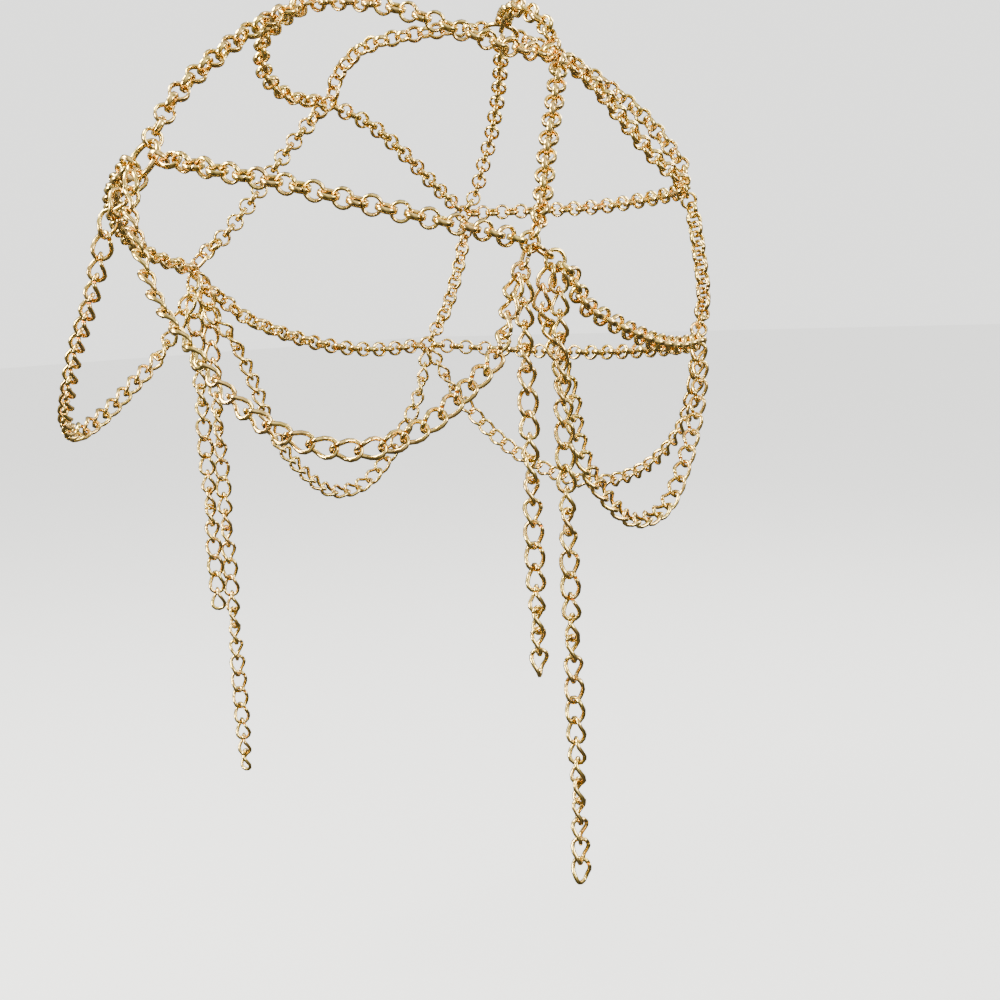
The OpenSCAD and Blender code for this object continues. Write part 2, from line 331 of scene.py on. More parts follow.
@dataclass(frozen=True)
class Wire:
    """Wire that is bent into loops, round or rolled flat.

    Attributes:
        thickness: Thickness of the wire, measured away from the loop's middle.
        sides: Sides of its cross-section.
        width: Width of a flat wire along the loop's axis, or 0 for a round wire.
    """

    thickness: float
    sides: int = 6
    width: float = 0.0

    @property
    def section(self) -> Array:
        """Work out the cross-section.

        Its points are (thickness c^p, width s^p) / 2, where c and s are the cosine and
        sine of the turn with their signs kept, and p is 1 for a round wire and 1/2 for a
        flat one, whose two faces are then nearly level and whose rims are rounded.

        Returns:
            The points, away from the loop's middle and across it, (sides, 2).
        """
        turn = 2.0 * np.pi * (np.arange(self.sides) + 0.5) / self.sides
        circle = np.stack([np.cos(turn), np.sin(turn)], axis=-1)
        growth = CORNER_GROWTH if self.sides <= FEW_SIDES else 1.0
        if not self.width:
            return circle * self.thickness / 2.0 * growth
        flat = np.sign(circle) * np.sqrt(np.abs(circle))
        return flat * np.array([self.thickness * growth, self.width]) / 2.0

    def sweep(self, loops: Array, centres: Array) -> tuple[Array, Array, Array, Array]:
        """Carry the wire's section along many loops at once, and close each with two flat ends.

        A point of the surface is a point of the loop plus the section's first size times
        out and its second size times across, where out leads away from the loop's middle,
        square to the loop's own direction, and across is square to both.

        Args:
            loops: Points of the loops, (links, steps, 3). The last and first point of each
                loop are the two ends of its wire.
            centres: Middle of each loop, (links, 3).

        Returns:
            The vertices, the quads, the end faces, and the UV of each face corner.
        """
        links, steps, _ = loops.shape
        ways = unit(np.gradient(loops, axis=1))
        out = square_to(loops - centres[:, None], ways)
        across = np.cross(ways, out)
        section = self.section[None, None]
        ring = section[..., :1] * out[:, :, None] + section[..., 1:] * across[:, :, None]
        vertices = (loops[:, :, None] + ring).reshape(-1, 3)

        index = np.arange(links * steps * self.sides).reshape(links, steps, self.sides)
        here, there = index[:, :-1], index[:, 1:]
        corners = [here, np.roll(here, -1, 2), np.roll(there, -1, 2), there]
        quads = np.stack(corners, axis=-1).reshape(-1, 4)
        ends = np.concatenate([index[:, 0, ::-1], index[:, -1]])

        along = np.arange(steps) / (steps - 1)
        u0, u1 = along[:-1, None], along[1:, None]
        v0 = np.arange(self.sides)[None] / self.sides
        v1 = v0 + 1.0 / self.sides
        chart = [
            np.stack(np.broadcast_arrays(u, v), axis=-1)
            for u, v in ((u0, v0), (u0, v1), (u1, v1), (u1, v0))
        ]
        quad_map = np.tile(np.stack(chart, axis=2).reshape(-1, 2), (links, 1))
        end_map = np.full((ends.size, 2), 0.5)
        return vertices, quads, ends, np.concatenate([quad_map, end_map])


@dataclass(frozen=True)
class Link:
    """A flat link that is bent from one piece of wire: round, or oval with half-round ends.

    Attributes:
        length: Outer length.
        width: Outer width.
        wire: Its wire.
        steps: Points round the link.
        gap: Opening left between the wire's ends.
        seam: Turn at which the wire's ends meet, in degrees.
    """

    length: float
    width: float
    wire: Wire
    steps: int = 17
    gap: float = 0.05
    seam: float = 90.0

    @property
    def turn(self) -> Array:
        """Turns of the points in radians, from one end of the wire round to the other."""
        ajar = self.gap / (self.width - self.wire.thickness)
        return math.radians(self.seam) + np.linspace(ajar, 2.0 * np.pi - ajar, self.steps)

    def hook(self, held: float, play: float = RING_PLAY) -> float:
        """Distance from a held wire's middle to the link's middle, when pulled tight."""
        return self.length / 2.0 - self.wire.thickness - held / 2.0 - play

    def loop(self) -> Array:
        """Work out the wire's middle line, a circle whose halves are moved apart.

        It is (r cos t + h p, r sin t, 0), where t is the turn, r the circle's radius, h
        half of what the link is longer than wide, and p the parting times cos t, held
        between -1 and 1.

        Returns:
            Points of the line, (steps, 3).
        """
        t = self.turn
        r = (self.width - self.wire.thickness) / 2.0
        half = (self.length - self.width) / 2.0
        x = r * np.cos(t) + half * np.clip(np.cos(t) * PARTING, -1.0, 1.0)
        return np.stack([x, r * np.sin(t), np.zeros_like(t)], axis=-1)


@dataclass(frozen=True)
class CurbLink(Link):
    """An oval link whose two ends are twisted against each other.

    Attributes:
        lean: Turn of the far end against the middle, in degrees.
        fullness: How much fuller the ends are than an ellipse's.
        spring: How far the wire's ends stand off each other.
        fade: Share of the wire over which this fades from each end.
    """

    lean: float = -36.0
    fullness: float = 0.35
    spring: float = 0.06
    fade: float = 0.2

    def loop(self) -> Array:
        """Work out the wire's middle line.

        The oval (u, v) = (a cos t, b sin t (1 + fullness cos^2 t)) is turned about its
        length by f, so the point is (u, v cos f, v sin f). f goes with the sine of u from
        nothing at the middle to the whole lean at the ends of the link's hole. The two
        ends of the wire are pushed apart across the link by the spring.

        Returns:
            Points of the line, (steps, 3).
        """
        t = self.turn
        long_r = (self.length - self.wire.thickness) / 2.0
        wide_r = (self.width - self.wire.thickness) / 2.0
        u, v = long_r * np.cos(t), wide_r * np.sin(t) * (1.0 + self.fullness * np.cos(t) ** 2)
        hole = self.length / 2.0 - self.wire.thickness
        f = math.radians(self.lean) * np.sin(np.pi / 2.0 * np.clip(u / hole, -1.0, 1.0))
        share = np.linspace(0.0, 1.0, self.steps)
        push = smooth(1.0 - share / self.fade) - smooth(1.0 - (1.0 - share) / self.fade)
        return np.stack([u, v * np.cos(f), v * np.sin(f) + self.spring * push / 2.0], axis=-1)


ROUND = Link(5.55, 5.55, Wire(0.8, 6, 1.6), gap=0.03, seam=62.0)
CURB = CurbLink(8.05, 5.75, Wire(1.16), seam=228.0)
HANGER = Link(7.0, 4.8, Wire(1.12, 14), steps=48, gap=0.06)


@dataclass(frozen=True)
class Route:
    """A smooth curve through a strand's chosen points.

    Attributes:
        points: The points, (count, 3).
    """

    points: Array

    @cached_property
    def curve(self) -> Array:
        """Work out the curve as short straight steps.

        Between two points b and c, with neighbours a and d, the curve is the cubic
        b + (c-a)t/2 + (2a-5b+4c-d)t^2/2 + (3b-a-3c+d)t^3/2, with t from 0 to 1. The
        missing neighbour at each end is the next point mirrored in the last.

        Returns:
            Points of the curve, (steps, 3).
        """
        run = self.points
        p = np.vstack([2.0 * run[0] - run[1], run, 2.0 * run[-1] - run[-2]])
        a, b, c, d = p[:-3, None], p[1:-2, None], p[2:-1, None], p[3:, None]
        t = (np.arange(SPLINE_STEPS) / SPLINE_STEPS)[None, :, None]
        bend = (2 * a - 5 * b + 4 * c - d) * t**2 + (3 * b - a - 3 * c + d) * t**3
        return np.vstack([(b + ((c - a) * t + bend) / 2).reshape(-1, 3), run[-1:]])

    @cached_property
    def far(self) -> Array:
        """Distance along the curve to each of its points."""
        steps = np.linalg.norm(np.diff(self.curve, axis=0), axis=1)
        return np.concatenate([[0.0], np.cumsum(steps)])

    @property
    def length(self) -> float:
        """Length of the curve."""
        return float(self.far[-1])

    def at(self, s: Array) -> Array:
        """Points at distances along the curve."""
        return np.stack([np.interp(s, self.far, axis) for axis in self.curve.T], axis=-1)

    def way(self, s: Array) -> Array:
        """Work out directions of the curve, from a point a little back to one a little on.

        Args:
            s: Distances along the curve, (count,).

        Returns:
            The directions, (count, 3).
        """
        reach = np.minimum(WAY_REACH, np.minimum(s, self.length - s)) + END_REACH
        low, high = np.maximum(s - reach, 0.0), np.minimum(s + reach, self.length)
        return unit(self.at(high) - self.at(low))

    def out(self, s: Array) -> Array:
        """Directions away from the cage's middle, square to the curve, at distances along it."""
        return square_to(self.at(s) - MIDDLE, self.way(s))


@dataclass(frozen=True)
class Places:
    """Where the links of a chain lie.

    Attributes:
        at: Middles of the links, (links, 3).
        way: Direction of the chain at each link, (links, 3).
        side: Direction across each link, square to the way, (links, 3).
    """

    at: Array
    way: Array
    side: Array

    def turned(self, degrees: Array) -> "Places":
        """Turn each link about the chain by its own angle in degrees."""
        c, s = np.cos(np.radians(degrees))[:, None], np.sin(np.radians(degrees))[:, None]
        return replace(self, side=c * self.side + s * np.cross(self.way, self.side))

    def put(self, loop: Array) -> Array:
        """Copy a link's middle line from its own axes, (steps, 3), to (links, steps, 3)."""
        axes = np.stack([self.way, self.side, np.cross(self.way, self.side)], axis=1)
        return self.at[:, None] + np.einsum("sk,nkc->nsc", loop, axes)


@dataclass(frozen=True)
class End:
    """What the end of a strand, a swag or a drop holds on to.

    Attributes:
        point: Point of the held wire, or middle of the held ring where it has a radius.
        face: The way the held wire's own ring faces.
        reach: Distance from the held wire's middle line to the middle of the end's link.
        radius: Radius of the held ring, or 0.
    """

    point: Array
    face: Array
    reach: float
    radius: float = 0.0

    def worn(self, side: Side) -> "End":
        """The same end on one side."""
        return replace(self, point=side.place(self.point), face=side.place(self.face))

    def held(self, toward: Array) -> Array:
        """The held point of the wire: the one that is nearest to the route's next point."""
        return self.point + self.radius * square_to(toward - self.point, self.face)


@dataclass(frozen=True)
class Piece:
    """A piece of the cage that is made of one link or of many equal ones.

    Attributes:
        node: Name of the solid that it stands for.
        link: The link that it is made of.
        slot: Material slot of its finish.
        form: Last word of its own name.
    """

    node: str
    link: ClassVar[Link]
    slot: ClassVar[Slot]
    form: ClassVar[str] = "links"

    def worn(self, side: Side) -> "Piece":
        """Wear the piece on one side.

        Args:
            side: The side.

        Returns:
            The piece with the side in its name, and with every end, point and direction of
            it placed there.
        """
        spots = {key: side.place(v) for key, v in vars(self).items() if isinstance(v, Array)}
        ends = {key: v.worn(side) for key, v in vars(self).items() if isinstance(v, End)}
        return replace(self, node=f"{self.node}_{side.value}", **spots, **ends)

    def places(self) -> Places:
        """Work out where the links lie and how each is turned."""
        raise NotImplementedError

    def build(self, material: bpy.types.Material) -> None:
        """Make one mesh of all the links, put it on in place of the solid, and report it.

        Args:
            material: Finish of the piece.
        """
        name, places = f"{self.node}_{self.form}", self.places()
        lines = places.put(self.link.loop())
        vertices, quads, ends, chart = self.link.wire.sweep(lines, places.at)
        mesh = bpy.data.meshes.new(name)
        mesh.from_pydata((vertices * MM).tolist(), [], quads.tolist() + ends.tolist())
        mesh.uv_layers.new(name=WIRE_MAP).data.foreach_set("uv", chart.astype(np.float32).ravel())
        mesh.polygons.foreach_set("use_smooth", np.arange(len(quads) + len(ends)) < len(quads))
        mesh.materials.append(material)
        mesh.update()
        made = bpy.data.objects.new(name, mesh)
        bpy.context.scene.collection.objects.link(made)
        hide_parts(self.node)
        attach(made, BODY)
        LOG.info("%s: %d faces", made.name, len(mesh.polygons))


@dataclass(frozen=True)
class Ring(Piece):
    """A round ring that strands and chains are joined to.

    Attributes:
        centre: Its middle.
        face: The way it faces, away from the cage's middle.
        outer: Outer diameter.
        thickness: Thickness of its wire.
        seam: Turn at which its wire's ends meet, in degrees.
        sides: Sides of its wire.
        steps: Points round it.
        gap: Opening left between the wire's ends.
    """

    centre: Array
    face: Array
    outer: float
    thickness: float
    seam: float = 200.0
    sides: int = 16
    steps: int = 65
    gap: float = 0.08
    slot = Slot.RING
    form = "wire"

    @property
    def link(self) -> Link:
        """The ring as a link."""
        wire = Wire(self.thickness, self.sides)
        return Link(self.outer, self.outer, wire, self.steps, self.gap, self.seam)

    @property
    def radius(self) -> float:
        """Radius of the wire's middle line."""
        return (self.outer - self.thickness) / 2.0

    @property
    def level(self) -> Array:
        """The level direction in the ring's plane."""
        return unit(np.cross(UP, self.face))

    def way(self, turn: float) -> Array:
        """Direction in the ring's plane, turned in degrees from the level towards the top."""
        t = math.radians(turn)
        return math.cos(t) * self.level + math.sin(t) * np.cross(self.face, self.level)

    def point(self, turn: float) -> Array:
        """Point on the ring's middle line at a turn."""
        return self.centre + self.radius * self.way(turn)

    def strand_end(self) -> End:
        """The end of a round-link strand that holds the ring."""
        return End(self.centre, self.face, ROUND.hook(self.thickness, ROUND_PLAY), self.radius)

    def chain_end(self, turn: float) -> End:
        """The end of a swag or a drop that holds the ring's wire at a turn."""
        return End(self.point(turn), self.face, CURB.hook(self.thickness))

    def places(self) -> Places:
        """Where the one link lies."""
        return Places(self.centre[None], self.level[None], np.cross(self.face, self.level)[None])


@dataclass(frozen=True)
class Hanger(Piece):
    """A flat oval link that carries what hangs at a temple.

    Attributes:
        centre: Its middle.
        way: Direction of its length.
        across: Direction that its width lies nearest to.
    """

    centre: Array
    way: Array
    across: Array
    link = HANGER
    slot = Slot.HANGER
    form = "wire"

    def places(self) -> Places:
        """Where the one link lies."""
        across = square_to(self.across, self.way)
        return Places(self.centre[None], self.way[None], across[None])


@dataclass(frozen=True)
class Strand(Piece):
    """A length of chain between two held wires.

    Attributes:
        start: What its first link holds.
        end: What its last link holds.
        between: Chosen points of its route between the two.
    """

    start: End
    end: End
    between: Array

    def route(self) -> Route:
        """The route from held wire to held wire."""
        first, last = self.start.held(self.between[0]), self.end.held(self.between[-1])
        return Route(np.vstack([first, self.between, last]))

    def square(self, route: Route) -> Pair:
        """Measure the turns at which the first and last link are square to the held wires.

        Args:
            route: The strand's route.

        Returns:
            The turns from facing outwards, in degrees.
        """
        ends = np.array([self.start.reach, route.length - self.end.reach])
        way, out = route.way(ends), route.out(ends)
        return turn_to(self.start.face, out[0], way[0]), turn_to(self.end.face, out[1], way[1])

    def lay(self, route: Route, turn: Array, first: float, final: float, ease: float) -> Places:
        """Space the links evenly, each at its turn and the ones near the ends turned further.

        Args:
            route: The strand's route.
            turn: Turn of each link in degrees, (links,).
            first: Further turn of the first link.
            final: Further turn of the last link.
            ease: Links over which these are eased out.

        Returns:
            The places of the links.
        """
        count = np.arange(len(turn))
        more = first * smooth(1.0 - count / ease) + final * smooth(1.0 - count[::-1] / ease)
        s = np.linspace(self.start.reach, route.length - self.end.reach, len(turn))
        return Places(route.at(s), route.way(s), route.out(s)).turned(turn + more)


@dataclass(frozen=True)
class RoundStrand(Strand):
    """A strand of flat-wired round links between two rings.

    Attributes:
        lean: How far the links lean from standing upright and lying flat by turns, in
            degrees, near the strand's start and near its end.
        pitch: Greatest distance between two links.
        ease: Links over which the lean is reached at each end.
    """

    lean: Pair = (0.0, 0.0)
    pitch: float = 3.64
    ease: float = 3.0
    link = ROUND
    slot = Slot.ROUND

    def worn(self, side: Side) -> "RoundStrand":
        """The same strand on one side, its lean mirrored too."""
        lean = self.lean if side is Side.LEFT else (-self.lean[0], -self.lean[1])
        return replace(super().worn(side), lean=lean)

    def places(self) -> Places:
        """Work out where the links lie and how each is turned.

        Each link is a quarter turn from the last and leans with its neighbours. The first
        and the last link stand nearly square to the wires that they hold, and the others
        ease from there to the strand's lean. The count is the least that keeps the pitch,
        or one more where that leaves less twist at the far end.

        Returns:
            The places of the links.
        """
        route, (near, far) = self.route(), self.lean
        begin, last = self.square(route)
        begin, last = begin - near, last - far
        base = min((0.0, 90.0), key=lambda b: abs(within_half(begin - b)))
        least = math.ceil((route.length - self.start.reach - self.end.reach) / self.pitch)
        steps = min((least, least + 1), key=lambda n: abs(within_half(last - base - 90.0 * n)))
        count = np.arange(steps + 1)
        turn = base + 90.0 * count + near + (far - near) * count / steps
        first = beyond(within_half(begin - base), ROUND_SLACK)
        final = beyond(within_half(last - base - 90.0 * steps), ROUND_SLACK)
        return self.lay(route, turn, first, final, self.ease)


@dataclass(frozen=True)
class Swag(Strand):
    """A hanging chain of twisted oval links that lies flat against the cage's round.

    Attributes:
        roll: Pairs of a share of the swag and how far its links roll there from lying
            flat, in degrees, on the left side. Those of the right side lie flat.
        lie: Turn of a link that lies flat, in degrees.
        ease: Links over which the roll is reached at each end.
    """

    roll: tuple[Pair, ...] = ((0.0, 0.0),)
    lie: float = 90.0
    ease: float = 5.0
    link = CURB
    slot = Slot.OVAL

    def worn(self, side: Side) -> "Swag":
        """The same swag on one side, rolled on the left side alone."""
        return replace(super().worn(side), roll=self.roll if side is Side.LEFT else Swag.roll)

    def places(self) -> Places:
        """Work out where the links lie and how each is turned.

        The first link's near end and the last link's far end stand square to the wires
        that they hold, and the links between ease to lie flat, rolled as the swag's own
        weight rolls them.

        Returns:
            The places of the links.
        """
        route, lean = self.route(), self.link.lean
        steps = round((route.length - self.start.reach - self.end.reach) / CURB_PITCH)
        share, rolled = np.array(self.roll).T
        turn = self.lie + np.interp(np.arange(steps + 1) / steps, share, rolled)
        begin, last = self.square(route)
        first = one_way(begin + lean - turn[0], CURB_SLACK)
        final = -one_way(turn[-1] + lean - last, CURB_SLACK)
        return self.lay(route, turn, first, final, self.ease)


@dataclass(frozen=True)
class Drop(Piece):
    """A loose chain of twisted oval links that hangs plumb and turns as it falls.

    Attributes:
        start: What its first link holds.
        count: Number of links.
        turns: Pairs of a link's number and its turn from face-on, in degrees.
        facing: The level direction in which a link lies face-on.
    """

    start: End
    count: int
    turns: tuple[Pair, ...]
    facing: Array = field(default_factory=lambda: np.array([0.66, -0.75, 0.0]))
    link = CURB
    slot = Slot.OVAL

    def places(self) -> Places:
        """Work out where the links hang and how each is turned.

        The first link's near end stands square to the wire that it holds, and the turns
        between the numbered links are even.

        Returns:
            The places of the links.
        """
        count = np.arange(self.count)
        at = self.start.point - UP * (self.start.reach + DROP_PITCH * count[:, None])
        across = unit(np.cross(-UP, self.facing))
        near_end = turn_to(self.start.face, across, -UP) + self.link.lean
        number, turn = np.array(self.turns, float).T
        turn[0] += within_half(near_end - turn[0])
        down, across = np.broadcast_to(-UP, at.shape), np.broadcast_to(across, at.shape)
        return Places(at, down, across).turned(np.interp(count, number, turn))


@dataclass
class Cage:
    """The worn cage: rings, round-link strands and hangers, and the chains hung from them.

    Its pieces are worked out for the left side and the middle, and each piece of the left
    side is then worn on both.

    Attributes:
        golds: Finish of each material slot.
        big_d: Outer diameter of the brow ring and the crown ring.
        big_wire: Thickness of their wire.
        join_d: Outer diameter of the joining rings.
        join_wire: Thickness of their wire and the temple ring's.
        temple_d: Outer diameter of the ring at each temple.
        temple_turns: Turns of that ring where the top, front and back hanger hold it.
        loose_wire: Thickness of the round wire of the front link.
        front_roll: Roll along the swag from the brow to the temple.
        side_roll: Roll along the swag from the temple to the nape.
    """

    golds: dict[Slot, bpy.types.Material]
    big_d: float = 12.0
    big_wire: float = 1.5
    join_d: float = 6.4
    join_wire: float = 1.12
    temple_d: float = 6.0
    temple_turns: Triple = (56.0, -111.0, -35.0)
    loose_wire: float = 1.08
    front_roll: tuple[Pair, ...] = (
        (0.0, 60.0), (0.2, 60.0), (0.27, 51.0), (0.34, 33.0), (0.38, 22.0), (0.45, 10.0),
        (0.6, 0.0),
    )
    side_roll: tuple[Pair, ...] = (
        (0.0, 0.0), (0.25, 0.0), (0.33, -8.0), (0.43, -32.0), (0.5, -54.0), (0.57, -102.0),
        (0.64, -115.0), (0.75, -97.0), (0.82, -80.0),
    )

    def __post_init__(self) -> None:
        """Work out the rings, and then the temple, which hangs from its own ring."""
        big, join = (self.big_d, self.big_wire), (self.join_d, self.join_wire)
        self.brow, self.crown, self.top_front, self.top_side, self.top_back, self.nape = (
            Ring(node, np.array(centre), unit(np.array(face)), *size)
            for node, centre, face, size in (
                ("brow_ring", (0.0, -90.0, 39.0), (0.0, -0.87, 0.5), (*big, 60.0)),
                ("crown_ring", (0.0, 46.0, 85.0), (0.0, 0.34, 0.94), big),
                ("top_front_ring", (0.0, -34.0, 83.0), (0.0, -0.34, 0.94), join),
                ("top_side_ring", (48.0, 14.0, 67.0), (0.73, 0.12, 0.68), join),
                ("top_back_ring", (48.0, 76.0, 33.0), (0.7, 0.64, 0.32), join),
                ("nape_ring", (59.0, 65.0, -14.0), (0.8, 0.6, 0.0), join),
            )
        )
        self._temple()

    def _temple(self) -> None:
        """Work out the temple ring, its three hangers, and what the lower two of them carry.

        Each piece is pulled tight: its middle lies in its direction from the wire that it
        holds, at the distance that its hook gives.
        """
        face = unit(np.array([0.9, -0.44, 0.0]))
        self.temple = Ring(
            "temple_ring", np.array([70.0, -28.0, 15.0]), face, self.temple_d, self.join_wire
        )
        top_turn, front_turn, back_turn = self.temple_turns
        front_way, back_way = self.temple.way(front_turn), self.temple.way(back_turn)
        top_way = unit(np.array([-0.25, 0.65, 0.7]))
        hook, tip_wire = HANGER.hook(self.join_wire), HANGER.wire.thickness
        front = self.temple.centre + front_way * (self.temple.radius + hook)
        back = self.temple.centre + back_way * (self.temple.radius + hook)
        top = self.temple.point(top_turn) + top_way * hook
        self.hangers = (
            Hanger("top_hanger", top, top_way, face),
            Hanger("front_hanger", front, front_way, face),
            Hanger("back_hanger", back, back_way, face),
        )
        self.tip = End(
            top + top_way * HANGER.length / 2.0, unit(np.cross(top_way, face)),
            ROUND.hook(tip_wire, TIP_PLAY) - tip_wire / 2.0,
        )
        loose = HANGER.hook(self.loose_wire) + (ROUND.length - self.loose_wire) / 2.0
        self.front_link = Ring(
            "front_link", front + front_way * loose, face, ROUND.length, self.loose_wire, seam=20.0
        )
        join = hook + (self.join_d - self.join_wire) / 2.0
        self.back_ring = Ring(
            "back_ring", back + back_way * join, face, self.join_d, self.join_wire, seam=120.0
        )

    def build(self) -> None:
        """Build every piece of the cage, ring by ring and strand by strand."""
        one_side = (
            self.top_side, self.top_back, self.nape, self.temple, self.back_ring, self.front_link,
            *self.hangers, *self.side_strands(), *self.side_swags(), *self.drops(),
        )
        pieces = [self.brow, self.crown, self.top_front]
        pieces += [piece.worn(side) for side in Side for piece in one_side]
        pieces += [*self.middle_strands(), self.back_swag()]
        for piece in pieces:
            piece.build(self.golds[piece.slot])
        LOG.info("%d pieces", len(pieces))

    def side_strands(self) -> list[RoundStrand]:
        """List the round-link strands of the left side.

        Returns:
            The strands.
        """
        brow, crown, temple = (r.strand_end() for r in (self.brow, self.crown, self.temple))
        top_front, top_side, top_back = (
            ring.strand_end() for ring in (self.top_front, self.top_side, self.top_back)
        )
        nape, back_ring = self.nape.strand_end(), self.back_ring.strand_end()
        return [
            RoundStrand("brow_strand", brow, temple, points(
                (11.5, -88, 37.5), (24, -84, 34), (36, -76.5, 30.5), (48, -67, 26), (58, -56, 22),
                (65.5, -43.5, 18.5),
            ), (44.0, 25.0)),
            RoundStrand("side_strand", back_ring, nape, points(
                (73.5, -16.5, 6.5), (71.5, -10, 0.5), (70.5, -3.5, -3), (70, 12, -8.5),
                (68, 28, -12.5), (64.5, 45, -14.5),
            ), (38.0, -22.0)),
            RoundStrand("temple_strand", self.tip, top_side, points(
                (65.9, -17.2, 26.6), (60.5, -8, 39), (55, 3, 54),
            ), (-41.0, -27.0)),
            RoundStrand("back_strand", top_back, nape, points(
                (49.5, 78, 26), (52.5, 76.5, 13), (56, 73, -1),
            ), (-22.0, -32.0)),
            RoundStrand("top_front_strand", top_front, top_side, points(
                (14, -32, 81.5), (27, -28.5, 78), (40, -17.5, 71.5), (46.5, -3, 67.5),
            ), (-6.0, -6.0)),
            RoundStrand("top_side_strand", top_side, top_back, points(
                (47, 32, 61), (46.5, 46, 52.5), (47, 60, 43),
            ), (45.0, 28.0)),
            RoundStrand("spoke_side", top_side, crown, points(
                (43.5, 15, 75.5), (34.5, 17, 82), (25, 22, 84.5), (12.5, 34, 86.5),
            )),
            RoundStrand("spoke_back", top_back, crown, points(
                (45, 80, 40), (38.5, 78, 50), (31.5, 75, 59), (20, 66.5, 71), (9, 56, 80),
            )),
        ]

    def middle_strands(self) -> list[RoundStrand]:
        """List the round-link strands that lie on or cross the middle.

        Returns:
            The strands.
        """
        brow, top_front = self.brow.strand_end(), self.top_front.strand_end()
        nape, top_back = self.nape.strand_end(), self.top_back.strand_end()
        return [
            RoundStrand("nape_strand", nape, nape.worn(Side.RIGHT), across_back(points(
                (48, 78.5, -16), (27, 88, -18), (0, 92, -19),
            ))),
            RoundStrand("top_back_strand", top_back, top_back.worn(Side.RIGHT), across_back(points(
                (37, 86.5, 33), (20, 93, 32.5), (0, 95, 32),
            ))),
            RoundStrand("forehead_strand", brow, top_front, points(
                (0, -78, 56), (0, -60.5, 69.5), (0, -47, 77.5),
            ), (-35.0, -51.0), pitch=3.7),
        ]

    def side_swags(self) -> list[Swag]:
        """List the swags of the left side.

        Returns:
            The swags.
        """
        brow, front_link = self.brow.chain_end(-72.0), self.front_link.chain_end(-132.0)
        back_ring, nape = self.back_ring.chain_end(-125.0), self.nape.chain_end(-107.0)
        return [
            Swag("front_swag", brow, front_link, points(
                (3.5, -97, 28), (7, -98.5, 20), (14, -99.5, 6), (25.5, -98.5, -7),
                (37, -95.5, -19.5), (49.5, -89.5, -28), (61, -79, -31), (67.5, -66, -27),
                (70.5, -52, -18), (71, -42.5, -10.5),
            ), self.front_roll),
            Swag("side_swag", back_ring, nape, points(
                (69, -23, 0.5), (67, -18.5, -6), (66.5, -14.5, -13.5), (66.5, -9.5, -25),
                (65.5, -6, -37), (65, 1.5, -49), (65, 15, -61), (65, 27, -63.5), (64.5, 38.5, -60),
                (63, 49.5, -49.5), (61.5, 58, -37.5), (60.5, 63, -25.5),
            ), self.side_roll),
        ]

    def back_swag(self) -> Swag:
        """The swag at the back, from one nape ring to the other."""
        nape = self.nape.chain_end(-62.0)
        return Swag("back_swag", nape, nape.worn(Side.RIGHT), across_back(points(
            (51.5, 72, -33), (38, 78, -49.5), (20, 82, -60.5), (0, 83, -64.5),
        )))

    def drops(self) -> list[Drop]:
        """List the two loose drops of a temple."""
        return [
            Drop("front_drop", self.front_link.chain_end(-78.0), 18, (
                (0, 48), (3, 92), (5, 176), (8, 270), (11.7, 360), (15, 448), (17, 495),
            )),
            Drop("back_drop", self.back_ring.chain_end(-75.0), 29, (
                (0, 48), (8, 180), (10.7, 268), (16.3, 446), (18.9, 534), (24, 628), (28, 705),
            )),
        ]


def stand(holder: bpy.types.Object, right: Array, back: Array, at: Array) -> None:
    """Set up a camera or a light.

    Args:
        holder: Its object.
        right: Direction of its right side.
        back: Direction away from what it faces, square to its right side.
        at: Its place in millimetres.
    """
    place = np.eye(4)
    place[:3, :3] = np.stack([right, np.cross(back, right), back], axis=-1)
    place[:3, 3] = at * MM
    # Blender reads the rows of this list as the columns of its matrix
    holder.matrix_world = place.T.tolist()
    bpy.context.scene.collection.objects.link(holder)


@dataclass(frozen=True)
class Lamp:
    """A soft square light that faces the middle of the chain.

    Attributes:
        name: Its name.
        at: Its place.
        width: Its width.
        power: Its power in watts.
        colour: Its linear colour.
    """

    name: str
    at: Triple
    width: float
    power: float
    colour: Triple

    def build(self) -> None:
        """Make the light and hide it from the camera itself."""
        lamp = bpy.data.lights.new(self.name, "AREA")
        lamp.shape = "SQUARE"
        lamp.size = self.width * MM
        lamp.energy, lamp.color = self.power, self.colour
        holder = bpy.data.objects.new(self.name, lamp)
        holder.visible_camera = False
        back = unit(np.array(self.at))
        stand(holder, unit(np.cross(UP, back)), back, np.array(self.at))


